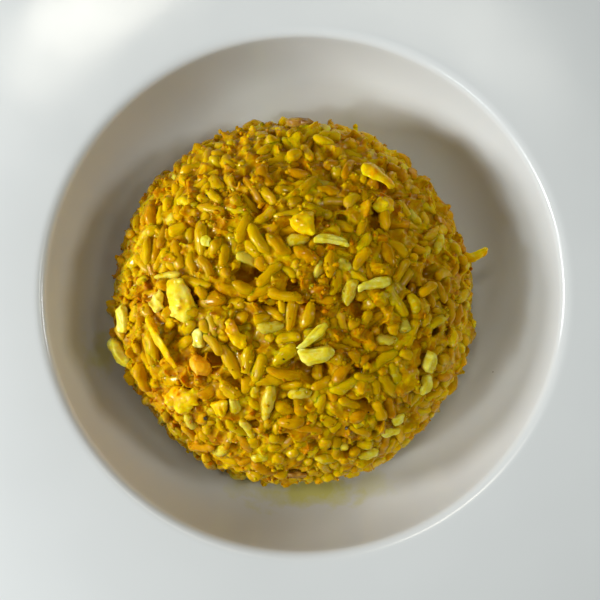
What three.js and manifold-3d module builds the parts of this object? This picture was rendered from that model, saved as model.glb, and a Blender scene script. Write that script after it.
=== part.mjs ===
// Fried rice plate: a round wide-rimmed deep plate with a turned-out mound of fried rice in its well,
// and pieces of egg, cabbage and shallot pressed into the surface of the mound.
// Millimetres, +Z up. The origin is on the plate's axis, on the surface that it stands on.
import * as THREE from "three";
import { mergeVertices } from "three/addons/utils/BufferGeometryUtils.js";
import Module from "manifold-3d";

const wasm = await Module();
wasm.setup();

// ---- Driving dimensions ----

// Plate
const PLATE_RADIUS = 140; // outer edge of the rim
const LIP_HEIGHT = 52.5; // top of the rim at its outer edge
const LIP_ROUND = 1.9; // rounding of the outer edge
const WELL_RADIUS = 78; // where the rim turns down into the well
const WELL_EDGE_HEIGHT = 46; // top of the rim at the well
const WELL_EDGE_ROUND = 2.4; // rounding between the rim and the well's wall
const FLOOR_HEIGHT = 9; // top of the well's floor
const FLOOR_RADIUS = 42; // flat part of the floor
const WALL_THICKNESS = 4.6;
const RIM_THICKNESS = 4.2;
const FOOT_RADIUS = 45; // outside of the foot ring
const FOOT_WIDTH = 5;
const FOOT_DEPTH = 3.4; // height of the recess inside the foot ring
const FOOT_CHAMFER = 0.7; // bevel on both sides of the foot ring
const PLATE_SEGMENTS = 52;
const WELL_STEPS = 9;
const CORNER_STEPS = 4;
const WALL_STEPS = 6; // on the outside of the well's wall

// Control points of the well's curve, measured in from the well's radius and up from the floor.
const WELL_FLOOR_REACH = 12;
const WELL_WALL_REACH = 5.5;
const WELL_WALL_RISE = 11;
const WELL_TOP_REACH = 1.5;

// The underside of the rim: where it starts outside the well, and where it meets the wall.
const RIM_UNDER_REACH = 13;
const RIM_UNDER_RISE = 0.8;
const WALL_TOP_SHARE = 0.9; // share of the well's curve

// Mound of rice
const MOUND_CENTRE = new THREE.Vector2(-3.3, -2.3); // a little off the plate's axis
const MOUND_RADIUS = 59.3;
const MOUND_HEIGHT = 50;
const MOUND_FULLNESS = 2.4; // 2 gives an ellipse, and more a squarer shoulder
const MOUND_BASE = 9.5;
const BUMP_HEIGHT = 1.2; // how far bumps stand out of the even shape
const BUMP_SPACING = 17;
const MOUND_RINGS = 15;
const MOUND_SEGMENTS = 40;
const RING_CROWDING = 0.85; // below 1 the rings lie closer towards the mound's foot
const RING_RISE = 0.8; // least height of a ring over the next one, near the well
const BOTTOM_RING_SHARES = [1, 0.9, 0.74]; // of the mound's radius, on its underside

const GAP = 0.35; // clearance left between touching pieces

// ---- Plate ----

// Inside of the well, from the flat floor up to the rounded edge.
const wellCurve = new THREE.CubicBezierCurve(
  new THREE.Vector2(FLOOR_RADIUS, FLOOR_HEIGHT),
  new THREE.Vector2(WELL_RADIUS - WELL_FLOOR_REACH, FLOOR_HEIGHT),
  new THREE.Vector2(WELL_RADIUS - WELL_WALL_REACH, FLOOR_HEIGHT + WELL_WALL_RISE),
  new THREE.Vector2(WELL_RADIUS - WELL_TOP_REACH, WELL_EDGE_HEIGHT - WELL_EDGE_ROUND),
);

// Height of the well's inside at a distance from the plate's axis.
function wellHeightAt(radius) {
  if (radius <= FLOOR_RADIUS) return FLOOR_HEIGHT;
  let low = 0;
  let high = 1;
  const halvings = 30;
  for (let step = 0; step < halvings; step++) {
    const middle = (low + high) / 2;
    if (wellCurve.getPoint(middle).x < radius) low = middle;
    else high = middle;
  }
  return wellCurve.getPoint(low).y;
}

// Point on the outside of the well's wall.
function wellOuterPoint(t) {
  const inside = wellCurve.getPoint(t);
  const along = wellCurve.getTangent(t);
  const outward = new THREE.Vector2(along.y, -along.x);
  return inside.addScaledVector(outward, WALL_THICKNESS);
}

// Points of a quadratic curve round a corner, without its first point.
function roundCorner(from, corner, to, count) {
  return new THREE.QuadraticBezierCurve(from, corner, to).getPoints(count).slice(1);
}

// Section of the plate from the middle of its floor, over the rim and back underneath.
function plateProfile() {
  const point = (x, y) => new THREE.Vector2(x, y);
  const profile = [point(0, FLOOR_HEIGHT), ...wellCurve.getPoints(WELL_STEPS)];

  const wallTop = profile.at(-1);
  const rimStart = point(WELL_RADIUS + WELL_EDGE_ROUND, WELL_EDGE_HEIGHT + 0.2);
  const edgeCorner = point(WELL_RADIUS - 1, WELL_EDGE_HEIGHT);
  profile.push(...roundCorner(wallTop, edgeCorner, rimStart, CORNER_STEPS));

  const lipCentre = point(PLATE_RADIUS - LIP_ROUND, LIP_HEIGHT - LIP_ROUND);
  for (let step = 0; step <= CORNER_STEPS; step++) {
    const angle = Math.PI * (0.5 - step / CORNER_STEPS);
    const offset = point(Math.cos(angle), Math.sin(angle)).multiplyScalar(LIP_ROUND);
    profile.push(offset.add(lipCentre));
  }

  const rimUnder = point(WELL_RADIUS + RIM_UNDER_REACH, WELL_EDGE_HEIGHT - RIM_THICKNESS + RIM_UNDER_RISE);
  const wallOuterTop = wellOuterPoint(WALL_TOP_SHARE);
  const underCorner = point(wallOuterTop.x + RIM_UNDER_RISE, rimUnder.y - 1);
  profile.push(rimUnder);
  profile.push(...roundCorner(rimUnder, underCorner, wallOuterTop, CORNER_STEPS - 1));
  for (let step = WALL_STEPS - 1; step > 0; step--) {
    profile.push(wellOuterPoint((WALL_TOP_SHARE * step) / WALL_STEPS));
  }

  const footInside = FOOT_RADIUS - FOOT_WIDTH;
  profile.push(point(FOOT_RADIUS, FOOT_DEPTH - 1));
  profile.push(point(FOOT_RADIUS - FOOT_CHAMFER, 0));
  profile.push(point(footInside + FOOT_CHAMFER, 0));
  profile.push(point(footInside - FOOT_CHAMFER / 2, FOOT_DEPTH));
  profile.push(point(0, FOOT_DEPTH));
  return profile.reverse();
}

function plateGeometry() {
  return new THREE.LatheGeometry(plateProfile(), PLATE_SEGMENTS).rotateX(Math.PI / 2);
}

// ---- Mound of rice ----

// Smooth unevenness between about -1 and 1, from waves of several lengths that run in several directions.
function unevenness(place, spacing, seed = 0) {
  const waves = 7;
  const goldenAngle = 2.4;
  const shortest = 0.8;
  const lengthStep = 0.08;
  const phaseStep = 1.7;
  const evening = 3;
  let sum = 0;
  for (let wave = 0; wave < waves; wave++) {
    const turn = wave * goldenAngle;
    const rise = 1 - (2 * wave + 1) / waves;
    const level = Math.sqrt(1 - rise * rise);
    const direction = new THREE.Vector3(level * Math.cos(turn), level * Math.sin(turn), rise);
    const length = spacing * (shortest + lengthStep * wave);
    sum += Math.sin((2 * Math.PI * direction.dot(place)) / length + phaseStep * wave + seed);
  }
  return sum / evening;
}

// Even surface of the mound: slant 0 is its top and a quarter turn its foot.
function moundPoint(slant, turn) {
  const radius = MOUND_RADIUS * Math.sin(slant) ** (2 / MOUND_FULLNESS);
  const height = MOUND_HEIGHT * Math.max(Math.cos(slant), 0) ** (2 / MOUND_FULLNESS);
  return new THREE.Vector3(
    MOUND_CENTRE.x + radius * Math.cos(turn),
    MOUND_CENTRE.y + radius * Math.sin(turn),
    MOUND_BASE + height,
  );
}

// Outward direction of the even surface at a point on it.
function moundNormal(place) {
  const x = place.x - MOUND_CENTRE.x;
  const y = place.y - MOUND_CENTRE.y;
  const radius = Math.max(Math.hypot(x, y), 1e-6);
  const height = Math.max(place.z - MOUND_BASE, 0) / MOUND_HEIGHT;
  const outward = (radius / MOUND_RADIUS) ** (MOUND_FULLNESS - 1) / MOUND_RADIUS;
  const upward = height ** (MOUND_FULLNESS - 1) / MOUND_HEIGHT;
  return new THREE.Vector3((x / radius) * outward, (y / radius) * outward, upward).normalize();
}

// Point of the even surface over a place on the plate.
function moundPointOver(x, y) {
  const share = Math.hypot(x - MOUND_CENTRE.x, y - MOUND_CENTRE.y) / MOUND_RADIUS;
  const height = MOUND_HEIGHT * (1 - share ** MOUND_FULLNESS) ** (1 / MOUND_FULLNESS);
  return new THREE.Vector3(x, y, MOUND_BASE + height);
}

function restOnWell(place) {
  place.z = wellHeightAt(Math.hypot(place.x, place.y)) + GAP;
  return place;
}

// Rings of points from the top of the mound down to its foot, and then inwards along its bottom.
function moundRings() {
  const rings = [];
  const turns = Array.from({ length: MOUND_SEGMENTS }, (_, step) => (2 * Math.PI * step) / MOUND_SEGMENTS);
  for (let ring = 1; ring < MOUND_RINGS; ring++) {
    const slant = (Math.PI / 2) * (ring / MOUND_RINGS) ** RING_CROWDING;
    rings.push(
      turns.map((turn) => {
        const place = moundPoint(slant, turn);
        const bump = BUMP_HEIGHT * unevenness(place, BUMP_SPACING);
        place.addScaledVector(moundNormal(place), bump);
        const lowest = restOnWell(place.clone()).z + RING_RISE * (MOUND_RINGS - ring);
        place.z = Math.max(place.z, lowest);
        return place;
      }),
    );
  }
  for (const share of BOTTOM_RING_SHARES) {
    rings.push(
      turns.map((turn) => {
        const reach = MOUND_RADIUS * share;
        const x = MOUND_CENTRE.x + reach * Math.cos(turn);
        const y = MOUND_CENTRE.y + reach * Math.sin(turn);
        return restOnWell(new THREE.Vector3(x, y, 0));
      }),
    );
  }
  return rings;
}

// Closed mesh through a top point, rings of points and a bottom point.
function ringedGeometry(top, rings, bottom) {
  const count = rings[0].length;
  const places = [top, ...rings.flat(), bottom];
  const at = (ring, step) => 1 + ring * count + (step % count);
  const last = rings.length - 1;
  const faces = [];
  for (let step = 0; step < count; step++) {
    faces.push(0, at(0, step), at(0, step + 1));
    for (let ring = 0; ring < last; ring++) {
      faces.push(at(ring, step), at(ring + 1, step), at(ring + 1, step + 1));
      faces.push(at(ring, step), at(ring + 1, step + 1), at(ring, step + 1));
    }
    faces.push(at(last, step), places.length - 1, at(last, step + 1));
  }
  return new THREE.BufferGeometry().setFromPoints(places).setIndex(faces);
}

function moundGeometry() {
  const top = moundPoint(0, 0);
  const bottom = new THREE.Vector3(MOUND_CENTRE.x, MOUND_CENTRE.y, FLOOR_HEIGHT + GAP);
  return ringedGeometry(top, moundRings(), bottom);
}

// ---- Pieces in the surface of the mound ----

// at: place over the plate. size: length, width and thickness. turn: direction of the length, in
// degrees from +X towards +Y as seen from above. lean: how far the leading end of the length lifts,
// in degrees. bend: how far the middle of the length bows out of the mound. taper: how much the
// leading end narrows. square: how boxy the piece is. out: how far the piece's centre stands out of
// the mound's even surface.
const PIECES = [
  {
    name: "egg_lump_left", food: "egg", at: [-35.5, -2], size: [14.4, 8.2, 6.4],
    turn: 96, out: -1,
  },
  {
    name: "egg_white_left", food: "egg_white", at: [-42.6, -2.8], size: [7.4, 4.6, 4],
    turn: 85, out: -0.4,
  },
  {
    name: "egg_strip_left", food: "egg", at: [-40.2, -13.6], size: [15.8, 3.2, 3],
    turn: -54, bend: 1.6, out: 0.3,
  },
  {
    name: "egg_lump_back", food: "egg", at: [0.4, 19.6], size: [8.8, 7, 5],
    turn: -58, lean: 8, taper: 0.6, out: 0,
  },
  {
    name: "egg_strip_front", food: "egg", at: [-19.6, -11.2], size: [11, 3.8, 3.2],
    turn: -62, bend: 0.8, out: 0,
  },
  {
    name: "egg_curl_left", food: "egg", at: [-29.6, -20.6], size: [7, 6.2, 5.6],
    turn: -40, out: -0.4,
  },
  {
    name: "egg_curd_left", food: "egg", at: [-35.8, -30.6], size: [11, 8.2, 5.6],
    turn: -12, out: -0.6,
  },
  {
    name: "egg_strip_right", food: "egg", at: [21.2, 34.2], size: [12.6, 2.7, 2.5],
    turn: -36, bend: 0.8, out: 0.3,
  },
  { name: "egg_bit_right", food: "egg", at: [23, 25.6], size: [7, 4.6, 3.6], turn: 18, out: -0.2 },
  {
    name: "cabbage_front", food: "cabbage", at: [3.6, -16.6], size: [9.8, 5, 3.2],
    turn: 12, lean: 4, square: 0.5, out: 0.3,
  },
  {
    name: "cabbage_edge_left", food: "cabbage", at: [-56.6, -17.6], size: [10.4, 6.6, 3.6],
    turn: 140, lean: 16, square: 0.6, out: 1.2,
  },
  {
    name: "cabbage_side_left", food: "cabbage", at: [-55.4, -7.6], size: [8, 4.2, 3.2],
    turn: 102, square: 0.4, out: -0.2,
  },
  {
    name: "cabbage_right_upper", food: "cabbage", at: [37, -20], size: [5.8, 4.2, 3.2],
    turn: 62, square: 0.5, out: -0.2,
  },
  {
    name: "cabbage_right_lower", food: "cabbage", at: [36.8, -27.2], size: [5.6, 4.4, 3.2],
    turn: 66, square: 0.5, out: -0.2,
  },
  {
    name: "shallot_back", food: "shallot", at: [-1.2, 52.6], size: [8.2, 3.8, 2.8],
    turn: -8, square: 0.4, bend: 0.6, out: 0.4,
  },
];
const UNEVENNESS = 0.14; // share by which a piece swells and shrinks
const UNEVENNESS_SPACING = 2.2; // on a piece with a half size of 1
const SWAY = 0.12; // share of the half width by which a piece winds sideways

// A soft irregular lump with its length along X and its outer side towards +Z. grow adds to its half sizes.
function lumpGeometry({ size, bend = 0, taper = 0, square = 0 }, seed, grow = 0) {
  const geometry = new THREE.IcosahedronGeometry(1, 2);
  const position = geometry.getAttribute("position");
  const place = new THREE.Vector3();
  const half = new THREE.Vector3(...size).divideScalar(2);
  for (let i = 0; i < position.count; i++) {
    place.fromBufferAttribute(position, i);
    const along = place.x;
    const widest = Math.max(Math.abs(place.x), Math.abs(place.y), Math.abs(place.z));
    const boxiness = widest ** (-0.6 * square);
    const swell = boxiness * (1 + UNEVENNESS * unevenness(place, UNEVENNESS_SPACING, 2 * seed));
    place.y *= 1 - taper * along;
    place.multiply(half.clone().multiplyScalar(swell).addScalar(grow));
    place.z += bend * (0.5 - along * along);
    place.y += SWAY * half.y * Math.sin(2.5 * along + seed);
    position.setXYZ(i, place.x, place.y, place.z);
  }
  return geometry;
}

// Turns and places a piece so that its underside lies along the mound's surface.
function pieceMatrix({ at, turn, lean = 0, out }) {
  const surface = moundPointOver(...at);
  const normal = moundNormal(surface);
  const angle = THREE.MathUtils.degToRad(turn);
  const level = new THREE.Vector3(Math.cos(angle), Math.sin(angle), 0);
  const side = new THREE.Vector3().crossVectors(normal, level).normalize();
  const heading = new THREE.Vector3().crossVectors(side, normal);
  const matrix = new THREE.Matrix4().makeBasis(heading, side, normal);
  matrix.multiply(new THREE.Matrix4().makeRotationY(-THREE.MathUtils.degToRad(lean)));
  return matrix.setPosition(surface.addScaledVector(normal, out));
}

// ---- Cutting and assembly ----

function toSolid(geometry) {
  const bare = geometry.clone();
  bare.deleteAttribute("normal");
  bare.deleteAttribute("uv");
  const merged = mergeVertices(bare, 1e-4);
  return new wasm.Manifold(
    new wasm.Mesh({
      numProp: 3,
      vertProperties: new Float32Array(merged.getAttribute("position").array),
      triVerts: new Uint32Array(merged.index.array),
    }),
  );
}

function fromSolid(solid) {
  const mesh = solid.getMesh();
  const geometry = new THREE.BufferGeometry();
  geometry.setAttribute("position", new THREE.BufferAttribute(mesh.vertProperties, 3));
  geometry.setIndex(new THREE.BufferAttribute(mesh.triVerts, 1));
  return geometry;
}

// The mound with a socket for each piece in its surface.
function cutMoundGeometry() {
  let solid = toSolid(moundGeometry());
  PIECES.forEach((piece, index) => {
    const socket = lumpGeometry(piece, index, GAP).applyMatrix4(pieceMatrix(piece));
    solid = solid.subtract(toSolid(socket));
  });
  return fromSolid(solid);
}

const glaze = new THREE.MeshStandardMaterial({ color: 0xe6e6e3, roughness: 0.18, metalness: 0 });
const rice = new THREE.MeshStandardMaterial({ color: 0xc99a12, roughness: 0.45, metalness: 0 });
const foods = {
  egg: new THREE.MeshStandardMaterial({ color: 0xf0c010, roughness: 0.5, metalness: 0 }),
  egg_white: new THREE.MeshStandardMaterial({ color: 0xead98a, roughness: 0.45, metalness: 0 }),
  cabbage: new THREE.MeshStandardMaterial({ color: 0xd8d070, roughness: 0.35, metalness: 0 }),
  shallot: new THREE.MeshStandardMaterial({ color: 0x7a5230, roughness: 0.45, metalness: 0 }),
};

function namedMesh(name, geometry, material) {
  const mesh = new THREE.Mesh(geometry, material);
  mesh.name = name;
  return mesh;
}

const object = new THREE.Group();
object.add(namedMesh("plate", plateGeometry(), glaze));
object.add(namedMesh("rice_mound", cutMoundGeometry(), rice));
PIECES.forEach((piece, index) => {
  const mesh = namedMesh(piece.name, lumpGeometry(piece, index), foods[piece.food]);
  mesh.applyMatrix4(pieceMatrix(piece));
  object.add(mesh);
});

export default object;
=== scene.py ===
"""Looks of the fried rice plate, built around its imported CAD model.

Sizes and places are in millimetres in the row frame, and turn into metres where a mesh is made.
"""

import itertools
import math

import bmesh
import bpy
import numpy as np
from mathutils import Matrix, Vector


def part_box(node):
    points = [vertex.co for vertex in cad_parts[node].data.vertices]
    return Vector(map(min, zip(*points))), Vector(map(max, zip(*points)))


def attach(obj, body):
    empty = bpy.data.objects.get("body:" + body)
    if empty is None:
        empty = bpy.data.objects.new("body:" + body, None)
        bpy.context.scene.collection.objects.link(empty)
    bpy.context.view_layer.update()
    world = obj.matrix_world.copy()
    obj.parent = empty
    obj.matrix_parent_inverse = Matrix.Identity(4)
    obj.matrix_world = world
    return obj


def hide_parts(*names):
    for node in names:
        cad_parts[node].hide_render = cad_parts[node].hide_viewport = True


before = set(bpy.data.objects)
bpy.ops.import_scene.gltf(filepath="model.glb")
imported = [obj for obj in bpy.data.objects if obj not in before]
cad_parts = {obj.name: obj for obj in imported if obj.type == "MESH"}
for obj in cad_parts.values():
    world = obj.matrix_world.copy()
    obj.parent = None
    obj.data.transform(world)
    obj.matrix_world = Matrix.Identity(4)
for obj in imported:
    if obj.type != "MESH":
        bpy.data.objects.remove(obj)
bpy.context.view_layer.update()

MM = 0.001
UP = np.array([0.0, 0.0, 1.0])
RANDOM = np.random.default_rng(20)

# ---- Sizes that the CAD model gives ----

PLATE_RADIUS, _, LIP_HEIGHT = np.array(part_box("plate")[1]) / MM

# ---- Sizes that repeat the CAD model's ----

LIP_ROUND = 1.9
WELL_RADIUS = 78.0
WELL_EDGE_HEIGHT = 46.0
WELL_EDGE_ROUND = 2.4
FLOOR_HEIGHT = 9.0
FLOOR_RADIUS = 42.0
WALL_THICKNESS = 4.6
RIM_THICKNESS = 4.2
FOOT_RADIUS = 45.0
FOOT_WIDTH = 5.0
FOOT_DEPTH = 3.4

MOUND_CENTRE = np.array([-3.3, -2.3])
MOUND_RADIUS = 59.3
MOUND_HEIGHT = 50.0
MOUND_FULLNESS = 2.4
MOUND_BASE = 9.5

# ---- Camera ----

# Straight above the plate, with the photograph's frame as wide as VIEW_WIDTH at the well's edge.
CAMERA_PLACE = (-1.04, -1.78, 306.0)
VIEW_WIDTH = 177.6
SENSOR_WIDTH = 36.0


# ---- Noise ----


def lattice(column, row, layer, seed):
    """A repeatable random number from 0 to 1 for each whole-numbered place."""
    mixed = column * 374761393 + row * 668265263 + layer * 1440662683 + seed * 974634777
    mixed = mixed & 0xFFFFFFFF
    mixed = ((mixed ^ (mixed >> 13)) * 1274126177) & 0xFFFFFFFF
    return ((mixed ^ (mixed >> 16)) & 0xFFFFFF) / 0xFFFFFF


def noise(points, size, seed=0):
    """Smooth noise from -1 to 1 with lumps of that size."""
    scaled = points / size
    cell = np.floor(scaled).astype(np.int64)
    part = scaled - cell
    part = part * part * (3 - 2 * part)
    total = np.zeros(len(points))
    for corner in itertools.product((0, 1), repeat=3):
        weight = np.prod(np.abs(1 - np.array(corner) - part), axis=1)
        total += weight * lattice(*(cell + corner).T, seed)
    return 2 * total - 1


def cells(points, size, seed=0):
    """The cell that each point lies in, its offset from the cell's spot, and its nearness to a border.

    Offsets are in cell sizes, and nearness is 0 on a border and grows towards the middle of the cell.
    """
    scaled = points / size
    cell = np.floor(scaled).astype(np.int64)
    nearest = np.full(len(points), 9.0)
    second = np.full(len(points), 9.0)
    owner = np.zeros((len(points), 3), np.int64)
    offset = np.zeros((len(points), 3))
    for step in itertools.product((-1, 0, 1), repeat=3):
        near = cell + step
        spot = np.stack([lattice(*near.T, seed + axis) for axis in range(3)], axis=1)
        gap = scaled - near - spot
        distance = np.sqrt((gap**2).sum(axis=1))
        closer = distance < nearest
        second = np.where(closer, nearest, np.minimum(second, distance))
        nearest = np.where(closer, distance, nearest)
        offset[closer] = gap[closer]
        owner[closer] = near[closer]
    return owner, offset, second - nearest


def cell_random(owner, seed):
    """A random number from 0 to 1 for each point, the same all over its cell."""
    return lattice(*owner.T, seed)


def lumps(points, size, seed=0):
    """Rounded relief: near 1 at the middle of each cell, down to about 0 in the creases between them."""
    return 1 - np.linalg.norm(cells(points, size, seed)[1], axis=1)


def crags(owner, offset, nearness, crease, seed):
    """Angular relief from about -1 to 1: each cell a facet with a height and tilt of its own."""
    height = 2 * cell_random(owner, seed + 7) - 1
    tilt = np.stack([cell_random(owner, seed + 8 + axis) for axis in range(3)], axis=1) - 0.5
    facet = 0.6 * height + 1.6 * (offset * tilt).sum(axis=1)
    edge = np.clip(nearness / crease, 0, 1)
    return facet * edge - (1 - edge)


# ---- Meshes ----


def add_object(name, data):
    made = bpy.data.objects.new(name, data)
    bpy.context.scene.collection.objects.link(made)
    return made


def mesh_object(name, points, faces, material, tone=None):
    """A smooth mesh. faces is a list of arrays of rows of corner numbers, and tone a colour per point."""
    mesh = bpy.data.meshes.new(name)
    rows = [row for part in faces for row in part.tolist()]
    mesh.from_pydata(points * MM, [], rows, shade_flat=False)
    if tone is not None:
        colours = np.column_stack([tone, np.ones(len(points))]).astype(np.float32)
        mesh.attributes.new("tone", "FLOAT_COLOR", "POINT").data.foreach_set("color", colours.ravel())
    mesh.validate()
    mesh.materials.append(material)
    return add_object(name, mesh)


def add_piece(name, points, faces, material, slot, node=None, tone=None):
    """A visible piece on the root body, in place of a CAD node where one is named."""
    piece = mesh_object(name, points, faces, material, tone)
    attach(piece, "root")
    if node:
        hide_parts(node)


def ring_faces(rings, around):
    """Corner numbers for rings of points, with a point before the first ring and one after the last."""
    ring, step = np.meshgrid(np.arange(rings - 1), np.arange(around), indexing="ij")
    after = (step + 1) % around
    here = 1 + ring * around
    quads = np.stack([here + step, here + around + step, here + around + after, here + after], axis=-1)
    step, after = step[0], after[0]
    end = 1 + (rings - 1) * around
    start_fan = np.stack([0 * step, 1 + step, 1 + after], axis=1)
    end_fan = np.stack([end + after, end + step, 0 * step + end + around], axis=1)
    return [quads.reshape(-1, 4), np.concatenate([start_fan, end_fan])]


# ---- Materials ----

# Sockets of a Mix node that hold colours.
FIRST_COLOUR = 6
SECOND_COLOUR = 7
MIXED_COLOUR = 2


class Shader:
    """Builds a node tree around one Principled shader."""

    def __init__(self, name, **values):
        self.material = bpy.data.materials.new(name)
        self.material.use_nodes = True
        self.tree = self.material.node_tree
        self.principled = self.tree.nodes["Principled BSDF"]
        for socket, value in values.items():
            self.principled.inputs[socket.replace("_", " ")].default_value = value

    def node(self, kind, settings=None, **links):
        made = self.tree.nodes.new(kind)
        for key, value in (settings or {}).items():
            setattr(made, key, value)
        for socket, value in links.items():
            self.put(made.inputs[socket.replace("_", " ")], value)
        return made

    def put(self, socket, value):
        if isinstance(value, bpy.types.NodeSocket):
            self.tree.links.new(value, socket)
        else:
            socket.default_value = value

    def feed(self, socket, value):
        self.put(self.principled.inputs[socket], value)

    def place(self):
        return self.node("ShaderNodeTexCoord").outputs["Object"]

    def cloud(self, size, detail=3.0):
        """Noise from 0 to 1 with patches of that size in millimetres."""
        values = {"Scale": 1 / (size * MM), "Detail": detail, "Roughness": 0.55}
        return self.node("ShaderNodeTexNoise", Vector=self.place(), **values).outputs["Fac"]

    def ramp(self, value, stops):
        """Colour by value. stops are pairs of a position and a colour."""
        made = self.node("ShaderNodeValToRGB", Fac=value)
        elements = made.color_ramp.elements
        while len(elements) < len(stops):
            elements.new(0.5)
        for element, (position, colour) in zip(elements, stops):
            element.position = position
            element.color = (*colour, 1.0)
        return made.outputs["Color"]

    def between(self, value, low, high, start=0.0, end=1.0):
        """Value from low to high mapped to start to end, and held there outside."""
        limits = {"From_Min": low, "From_Max": high, "To_Min": start, "To_Max": end}
        return self.node("ShaderNodeMapRange", {"clamp": True}, Value=value, **limits).outputs["Result"]

    def calculate(self, kind, operation, *values):
        """Outputs of a Math or VectorMath node."""
        made = self.node("ShaderNode" + kind, {"operation": operation})
        for socket, value in zip(made.inputs, values):
            self.put(socket, value)
        return made.outputs

    def number(self, operation, first, second):
        return self.calculate("Math", operation, first, second)["Value"]

    def mix(self, share, first, second, blend="MIX"):
        made = self.node("ShaderNodeMix", {"data_type": "RGBA", "blend_type": blend}, Factor=share)
        self.put(made.inputs[FIRST_COLOUR], first)
        self.put(made.inputs[SECOND_COLOUR], second)
        return made.outputs[MIXED_COLOUR]

    def channels(self, name):
        attribute = self.node("ShaderNodeAttribute", {"attribute_name": name})
        return self.node("ShaderNodeSeparateColor", Color=attribute.outputs["Color"]).outputs

    def bump(self, socket, height, distance):
        made = self.node("ShaderNodeBump", Height=height, Distance=distance * MM)
        self.feed(socket, made.outputs["Normal"])


# Oil and turmeric on the plate: middle, half lengths along x, y and z, and strength.
STAINS = (
    ((1.0, -64.5, 17.0), (22, 6.5, 14), 0.9),
    ((-18.0, -61.0, 17.0), (8, 5, 12), 0.45),
    ((-29.5, -55.5, 16.0), (5, 4, 12), 0.4),
    ((-64.5, -17.5, 22.0), (6, 9, 12), 0.6),
    ((20.0, -62.0, 18.0), (10, 6, 12), 0.35),
)
STAIN_COLOUR = (0.66, 0.65, 0.16, 1.0)
SPECK_COLOUR = (0.25, 0.22, 0.18, 1.0)
SPECK_SPACING = 22


def stained(shader):
    """How stained the glaze is at each place, from 0 to 1."""
    stain = 0.0
    for middle, halves, strength in STAINS:
        shifted = shader.calculate("VectorMath", "SUBTRACT", shader.place(), Vector(middle) * MM)["Vector"]
        scaled = shader.calculate("VectorMath", "DIVIDE", shifted, Vector(halves) * MM)["Vector"]
        reach = shader.calculate("VectorMath", "LENGTH", scaled)["Value"]
        ragged = shader.number("ADD", reach, shader.between(shader.cloud(6), 0.3, 0.7, -0.35, 0.35))
        stain = shader.number("MAXIMUM", stain, shader.between(ragged, 0.25, 1.0, strength, 0.0))
    return stain


def glaze_material():
    """White glazed porcelain with a few dark specks, and oil near the rice."""
    shader = Shader("porcelain")
    whites = [(0.3, (0.715, 0.735, 0.725)), (0.7, (0.755, 0.775, 0.765))]
    colour = shader.mix(stained(shader), shader.ramp(shader.cloud(60, 2.0), whites), STAIN_COLOUR)
    specks = shader.node("ShaderNodeTexVoronoi", Vector=shader.place(), Scale=1 / (SPECK_SPACING * MM))
    speck = shader.between(specks.outputs["Distance"], 0.008, 0.014, 0.75, 0.0)
    shader.feed("Base Color", shader.mix(speck, colour, SPECK_COLOUR))
    shader.feed("Roughness", shader.between(shader.cloud(18), 0.3, 0.7, 0.12, 0.2))
    shader.bump("Normal", shader.cloud(9, 1.0), 0.005)
    return shader.material


def food_shader(name, seep, seep_share, spread=(1.0, 0.6, 0.1), gloss=(1.0, 0.8, 0.03)):
    """A moist, slightly see-through food.

    seep is how many millimetres light spreads inside it, spread the share of that for red, green and blue,
    and gloss the tint of its own shine under the oil.
    """
    return Shader(
        name,
        Subsurface_Weight=seep_share,
        Subsurface_Scale=seep * MM,
        Subsurface_Radius=spread,
        Specular_IOR_Level=0.15,
        Specular_Tint=(*gloss, 1.0),
        Coat_Roughness=0.05,
    )


BEAD_SIZE = 1.5


def wet(shader, patch, oil, film, grain, height, bead):
    """Wet shine on a food, in millimetres where it is a size.

    Patches of oil lie where their noise rises through the two values of oil, as a coat of up to film.
    The food has bumps of that grain and height, and the oil on it has beads, each as high as bead.
    """
    shader.feed("Coat Weight", shader.between(shader.cloud(patch), *oil, 0.0, film))
    shader.feed("Roughness", shader.between(shader.cloud(2 * grain), 0.3, 0.7, 0.2, 0.42))
    shader.bump("Normal", shader.cloud(grain, 3.0), height)
    shader.bump("Coat Normal", shader.cloud(BEAD_SIZE, 2.0), bead)


def colour_by_tone(shader, stops, hollow, mottle_size, mottle, shades):
    """Colour from a piece's tones: its own hue and lightness, and painted shade of dark brown deep in the
    hollows.
    """
    shade, hue, depth = shader.channels("tone")[:3]
    hue = shader.number("ADD", hue, shader.between(shader.cloud(2.2), 0.3, 0.7, -0.16, 0.16))
    cloud = shader.between(shader.cloud(mottle_size, 4.0), 0.3, 0.7, *mottle)
    lightness = shader.number("MULTIPLY", cloud, shader.between(shade, 0.0, 1.0, *shades))
    grey = shader.node("ShaderNodeCombineColor", Red=lightness, Green=lightness, Blue=lightness)
    colour = shader.mix(1.0, shader.ramp(hue, stops), grey.outputs["Color"], "MULTIPLY")
    # Painted shade: the deeper a point lies under the heap's surface, the more its colour is mixed towards
    # the dark brown shade colour of the hollows.
    painted_shade = shader.between(depth, 0.05, 1.0, 0.0, 0.9)
    shader.feed("Base Color", shader.mix(painted_shade, colour, (*hollow, 1.0)))


def rice_material():
    shader = food_shader("rice", 2.6, 0.95)
    golds = [(0.0, (0.66, 0.31, 0.0004)), (0.3, (0.77, 0.435, 0.0004)), (0.75, (0.81, 0.525, 0.0004))]
    golds += [(0.95, (0.80, 0.56, 0.001)), (1.0, (0.86, 0.69, 0.07))]
    # The dark brown (0.36, 0.14, 0.0003) is the painted shade colour of the hollows.
    colour_by_tone(shader, golds, (0.36, 0.14, 0.0003), 1.8, (0.94, 1.04), (0.75, 0.92))
    wet(shader, 1.8, (0.52, 0.57), 0.8, 1.2, 0.05, 0.05)
    return shader.material


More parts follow.
